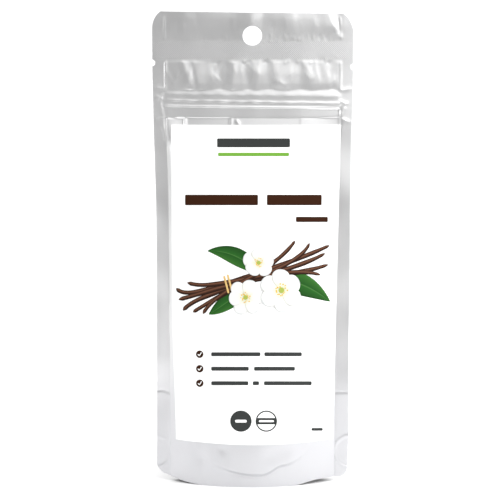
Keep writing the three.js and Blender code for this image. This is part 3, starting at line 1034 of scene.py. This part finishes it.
def print_ring(middle, radius, line, layer=0):
    columns, rows = RING_GRID
    piece, column, row = add_grid("ink", columns, rows)
    turn = TURN * column / columns
    size = radius - line * (1 - row / rows)
    x = middle[0] + size * np.cos(turn)
    z = levelled(x, middle[1] + size * np.sin(turn))
    set_points(piece, np.stack([x, label_y(x, z) - INK_LIFT - INK_STEP * layer, z], axis=-1))
    return weld_ink(piece)


def join_ink(name, patches, material):
    """One printed colour: its patches become one piece, a hair thick, that rides with the label."""
    deselect_all()
    for patch in patches:
        patch.select_set(True)
    bpy.context.view_layer.objects.active = patches[0]
    if len(patches) > 1:
        bpy.ops.object.join()
    piece = patches[0]
    piece.name = name
    piece.data.name = name
    for polygon in piece.data.polygons:
        polygon.use_smooth = True
    apply_modifier(piece, "SOLIDIFY", thickness=INK * MM, offset=0)
    piece.data.materials.clear()
    piece.data.materials.append(material)
    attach(piece, "root")
    return piece


def make_print():
    dark = [print_bar(*UPPER_BAR), print_bar(*CORNER_BAR)]
    for height, bars in zip(ROW_HEIGHTS, ROW_BARS):
        dark += [print_bar(reach, height, ROW_TALL) for reach in bars]
    dark.append(print_disc(DISC_BADGE, BADGE_RADIUS))
    dark.append(print_ring(RING_BADGE, BADGE_RADIUS, RING_LINE))
    ring_x, ring_z = RING_BADGE
    half_bar = BADGE_RADIUS - BADGE_BAR_INSET
    dark.append(print_bar((ring_x - half_bar, ring_x + half_bar), ring_z, BADGE_BAR))
    join_ink("print_dark", dark, ink_material("dark_ink", DARK_INK))

    brown = [print_bar(*bar) for bar in WIDE_BARS] + [print_bar(*SHORT_BAR)]
    brown += [print_disc((BULLET_X, height), BULLET_RADIUS) for height in ROW_HEIGHTS]
    join_ink("print_brown", brown, ink_material("brown_ink", BROWN_INK))
    join_ink("print_green", [print_bar(*UPPER_LINE)], ink_material("green_ink", GREEN_INK))

    pale = []
    for (x, z), (half, tall) in zip((DISC_BADGE, RING_BADGE), BADGE_MARKS):
        pale.append(print_bar((x - half, x + half), z, tall, PALE_LAYER))
    for height in ROW_HEIGHTS:
        for start, end in TICK:
            points = [(BULLET_X + start[0], height + start[1]), (BULLET_X + end[0], height + end[1])]
            pale.append(print_patch(points, TICK_TALL / 2, bar_form, PALE_LAYER, TICK_GRID))
    join_ink("print_pale", pale, ink_material("pale_ink", PALE_INK))

    leaves = [print_patch(*leaf, leaf_form, k, LEAF_GRID) for k, leaf in enumerate(LEAVES)]
    join_ink("print_leaves", leaves, patterned_ink("leaf_ink", LEAF_INK, "across"))
    pods = [print_patch(*pod, pod_form, POD_LAYER + k, POD_GRID) for k, pod in enumerate(PODS)]
    join_ink("print_pods", pods, patterned_ink("pod_ink", POD_INK, "across"))
    tie = []
    for k, points in enumerate(POD_TIE):
        tie.append(print_patch(points, TIE_TALL / 2, bar_form, TIE_LAYER + k, TIE_GRID))
    join_ink("print_tie", tie, ink_material("straw_ink", STRAW_INK))
    make_blossoms()


def make_blossoms():
    """White blossoms, petal over petal, each with a throat and a ring of specks."""
    petals, middles, specks = [], [], []
    layer = BLOSSOM_LAYER
    chance = random.Random(BLOSSOM_SEED)
    for (x, z), radius, count, turn in BLOSSOMS:
        order = list(range(0, count, 2)) + list(range(1, count, 2))
        for k in order:
            angle = turn + TURN * k / count + chance.uniform(-PETAL_TURN, PETAL_TURN)
            length = radius * chance.uniform(*PETAL_LENGTH)
            bend = chance.uniform(-PETAL_BEND, PETAL_BEND)
            mid = (x + 0.5 * length * math.cos(angle + bend), z + 0.5 * length * math.sin(angle + bend))
            tip = (x + length * math.cos(angle), z + length * math.sin(angle))
            half = radius * PETAL_FULL * math.pi / count * chance.uniform(*PETAL_WIDTH)
            petals.append(print_patch([(x, z), mid, tip], half, petal_form, layer, PETAL_GRID))
            layer += 1
        middles.append(print_disc((x, z), radius * THROAT_RADIUS, layer, THROAT_GRID))
        for k in range(SPECK_COUNT):
            angle = TURN * k / SPECK_COUNT + chance.uniform(-SPECK_TURN, SPECK_TURN)
            away = radius * chance.uniform(*SPECK_AWAY)
            place = (x + away * math.cos(angle), z + away * math.sin(angle))
            specks.append(print_disc(place, radius * chance.uniform(*SPECK_RADIUS), layer + 1, SPECK_GRID))
        layer += 2
    join_ink("print_petals", petals, patterned_ink("petal_ink", PETAL_INK, "along"))
    join_ink("print_throats", middles, ink_material("throat_ink", THROAT_INK))
    join_ink("print_specks", specks, ink_material("yellow_ink", YELLOW_INK))


def new_material(name):
    material = bpy.data.materials.new(name)
    material.use_nodes = True
    nodes = material.node_tree.nodes
    return material, nodes, material.node_tree.links, nodes["Principled BSDF"]


def film_material(back_from, back_to):
    """Satin metal film. The top seal is embossed with a fine diagonal mesh, and its colour is a little
    duller. Between two shares of its length, the film's web is the back, and its colour is darkened there as
    painted shade. Towards the foot the colour is darkened as painted shade too."""
    material, nodes, links, shader = new_material("silver_film")
    shader.inputs["Metallic"].default_value = 1
    place = add_node(nodes, "ShaderNodeTexCoord").outputs["Object"]
    parts = add_node(nodes, "ShaderNodeSeparateXYZ")
    links.new(place, parts.inputs[0])
    x, z = parts.outputs["X"], parts.outputs["Z"]
    # Painted shade: the film's colour darkens towards the foot
    low, high = FOOT_SHADE_HEIGHTS
    out_of_foot_shade = map_range(nodes, links, z, low * MM, high * MM, 0, 1)
    silver = colour_steps(nodes, links, out_of_foot_shade, [(0.0, FILM_SHADED_AT_FOOT), (1.0, FILM_ABOVE)])
    low, high = [(TOP_SEAL_LOW + away) * MM for away in MESH_START]
    above = map_range(nodes, links, z, low, high, 0, 1)
    low, high = [(TOP_SEAL_HIGH + away) * MM for away in MESH_END]
    below = map_range(nodes, links, z, low, high, 1, 0)
    in_seal = combine(nodes, links, "MULTIPLY", above, below)
    web = patch_places(nodes, links)[1]
    entered = map_range(nodes, links, web, back_from - BACK_EDGE, back_from + BACK_EDGE, 0, 1)
    left = map_range(nodes, links, web, back_to - BACK_EDGE, back_to + BACK_EDGE, 1, 0)
    on_back = combine(nodes, links, "MULTIPLY", entered, left)
    dull_seal = combine(nodes, links, "MULTIPLY_ADD", in_seal, -SEAL_DULLNESS, 1)
    # Painted shade: the back's colour is darkened
    back_painted_shade = combine(nodes, links, "MULTIPLY_ADD", on_back, -BACK_PAINTED_SHADE, 1)
    dulled_and_shaded = add_node(nodes, "ShaderNodeVectorMath", operation="SCALE")
    links.new(silver, dulled_and_shaded.inputs[0])
    links.new(combine(nodes, links, "MULTIPLY", dull_seal, back_painted_shade), dulled_and_shaded.inputs["Scale"])
    links.new(dulled_and_shaded.outputs[0], shader.inputs["Base Color"])

    pitch = TURN / (MESH_PITCH * MM)
    rising = wave(nodes, links, combine(nodes, links, "ADD", x, z), pitch)
    falling = wave(nodes, links, combine(nodes, links, "SUBTRACT", x, z), pitch)
    mesh = combine(nodes, links, "MULTIPLY", combine(nodes, links, "ADD", rising, falling), in_seal)
    emboss = add_node(nodes, "ShaderNodeBump")
    emboss.inputs["Distance"].default_value = MESH_HEIGHT * MM
    links.new(mesh, emboss.inputs["Height"])
    links.new(emboss.outputs[0], shader.inputs["Normal"])

    clouds = add_node(nodes, "ShaderNodeTexNoise")
    clouds.inputs["Scale"].default_value = FILM_CLOUDS
    links.new(place, clouds.inputs["Vector"])
    rough = map_range(nodes, links, clouds.outputs[0], *FILM_CLOUD_RANGE, *FILM_ROUGHNESS)
    links.new(rough, shader.inputs["Roughness"])
    return material


def label_material():
    material, nodes, links, shader = new_material("white_label")
    shader.inputs["Base Color"].default_value = (*LABEL_WHITE, 1)
    shader.inputs["Roughness"].default_value = PAPER_ROUGHNESS
    return material


def ink_material(name, colour):
    material, nodes, links, shader = new_material(name)
    shader.inputs["Base Color"].default_value = (*colour, 1)
    shader.inputs["Roughness"].default_value = PAPER_ROUGHNESS
    shader.inputs["Specular IOR Level"].default_value = INK_SHINE
    return material


def patterned_ink(name, steps, way):
    """Ink that changes colour along or across each of its patches."""
    material, nodes, links, shader = new_material(name)
    along, across = patch_places(nodes, links)
    colour = colour_steps(nodes, links, along if way == "along" else across, steps)
    links.new(colour, shader.inputs["Base Color"])
    shader.inputs["Roughness"].default_value = PAPER_ROUGHNESS
    shader.inputs["Specular IOR Level"].default_value = INK_SHINE
    return material


def colour_steps(nodes, links, source, steps):
    """A colour ramp on a value: place and colour of each step."""
    ramp = add_node(nodes, "ShaderNodeValToRGB")
    spare = len(steps) - len(ramp.color_ramp.elements)
    for k in range(spare):
        ramp.color_ramp.elements.new(0.5)
    for element, (place, colour) in zip(ramp.color_ramp.elements, steps):
        element.position = place
        element.color = (*colour, 1)
    links.new(source, ramp.inputs[0])
    return ramp.outputs["Color"]


def patch_places(nodes, links):
    """How far along a patch of ink or the film's grid, and how far across it, from its own UV map."""
    parts = add_node(nodes, "ShaderNodeSeparateXYZ")
    links.new(add_node(nodes, "ShaderNodeTexCoord").outputs["UV"], parts.inputs[0])
    return parts.outputs["X"], parts.outputs["Y"]


def add_node(nodes, kind, **settings):
    node = nodes.new(kind)
    for key, value in settings.items():
        setattr(node, key, value)
    return node


def map_range(nodes, links, source, from_low, from_high, to_low, to_high):
    """A soft step: from one value to another while the source goes from low to high."""
    node = add_node(nodes, "ShaderNodeMapRange", interpolation_type="SMOOTHSTEP")
    sockets = ("From Min", "From Max", "To Min", "To Max")
    for socket, value in zip(sockets, (from_low, from_high, to_low, to_high)):
        node.inputs[socket].default_value = value
    links.new(source, node.inputs["Value"])
    return node.outputs["Result"]


def combine(nodes, links, operation, *values):
    """One Math node. Each value is a socket or a number."""
    node = add_node(nodes, "ShaderNodeMath", operation=operation)
    for socket, value in zip(node.inputs, values):
        if isinstance(value, bpy.types.NodeSocket):
            links.new(value, socket)
        else:
            socket.default_value = value
    return node.outputs[0]


def wave(nodes, links, value, pitch):
    return combine(nodes, links, "SINE", combine(nodes, links, "MULTIPLY", value, pitch))


def floor_material():
    material, nodes, links, shader = new_material("pale_floor")
    parts = add_node(nodes, "ShaderNodeSeparateXYZ")
    links.new(add_node(nodes, "ShaderNodeTexCoord").outputs["Object"], parts.inputs[0])
    low, high = FLOOR_FRONT_END * MM, FLOOR_FRONT_START * MM
    grey = map_range(nodes, links, parts.outputs["Y"], low, high, FLOOR_FRONT, FLOOR_PALE)
    links.new(grey, shader.inputs["Base Color"])
    shader.inputs["Roughness"].default_value = FLOOR_ROUGHNESS
    return material


def make_floor():
    """A wide pale sheet of floor paper."""
    deselect_all()
    bpy.ops.mesh.primitive_plane_add(size=2 * FLOOR_REACH * MM)
    floor = bpy.context.object
    floor.name = "studio_floor"
    floor.data.materials.append(floor_material())


def add_softbox(name, place, aim, size, power):
    deselect_all()
    direction = Vector(aim) - Vector(place)
    turned = direction.to_track_quat("-Z", "Y").to_euler()
    bpy.ops.object.light_add(type="AREA", location=place, rotation=turned)
    light = bpy.context.object
    light.name = name
    light.data.shape = "RECTANGLE"
    light.data.size, light.data.size_y = size
    light.data.energy = power
    light.visible_camera = False


def light_studio():
    world = bpy.data.worlds.new("studio")
    bpy.context.scene.world = world
    world.use_nodes = True
    nodes, links = world.node_tree.nodes, world.node_tree.links
    parts = add_node(nodes, "ShaderNodeSeparateXYZ")
    links.new(add_node(nodes, "ShaderNodeTexCoord").outputs["Generated"], parts.inputs[0])
    light = map_range(nodes, links, parts.outputs["X"], SIDE_FROM, SIDE_TO, SIDE_DARK, SIDE_BRIGHT)
    for axis, steps in (("Y", ROOM_BACK), ("Z", ROOM_UP), ("Z", ROOM_TOP), ("X", ROOM_LEFT)):
        more = map_range(nodes, links, parts.outputs[axis], *steps)
        light = combine(nodes, links, "ADD", light, more)
    links.new(light, nodes["Background"].inputs["Color"])
    for softbox in SOFTBOXES:
        add_softbox(*softbox)


def add_camera():
    deselect_all()
    aim = [value * MM for value in CAMERA_AIM]
    back = -CAMERA_DISTANCE * MM * math.cos(CAMERA_ELEVATION)
    up = CAMERA_DISTANCE * MM * math.sin(CAMERA_ELEVATION)
    bpy.ops.object.camera_add(
        location=(aim[0], aim[1] + back, aim[2] + up), rotation=(math.pi / 2 - CAMERA_ELEVATION, 0, 0)
    )
    camera = bpy.context.object
    camera.name = "studio_camera"
    camera.data.lens = CAMERA_LENS
    camera.data.sensor_width = CAMERA_SENSOR
    bpy.context.scene.camera = camera


add_camera()
light_studio()
make_floor()
bpy.context.scene.view_settings.view_transform = "Standard"

film, back_reach = make_film()
film.data.materials.append(film_material(*back_reach))
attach(film, "root")
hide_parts("pouch")

label = make_label()
label.data.materials.append(label_material())
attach(label, "root")
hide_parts("front_label")

make_print()
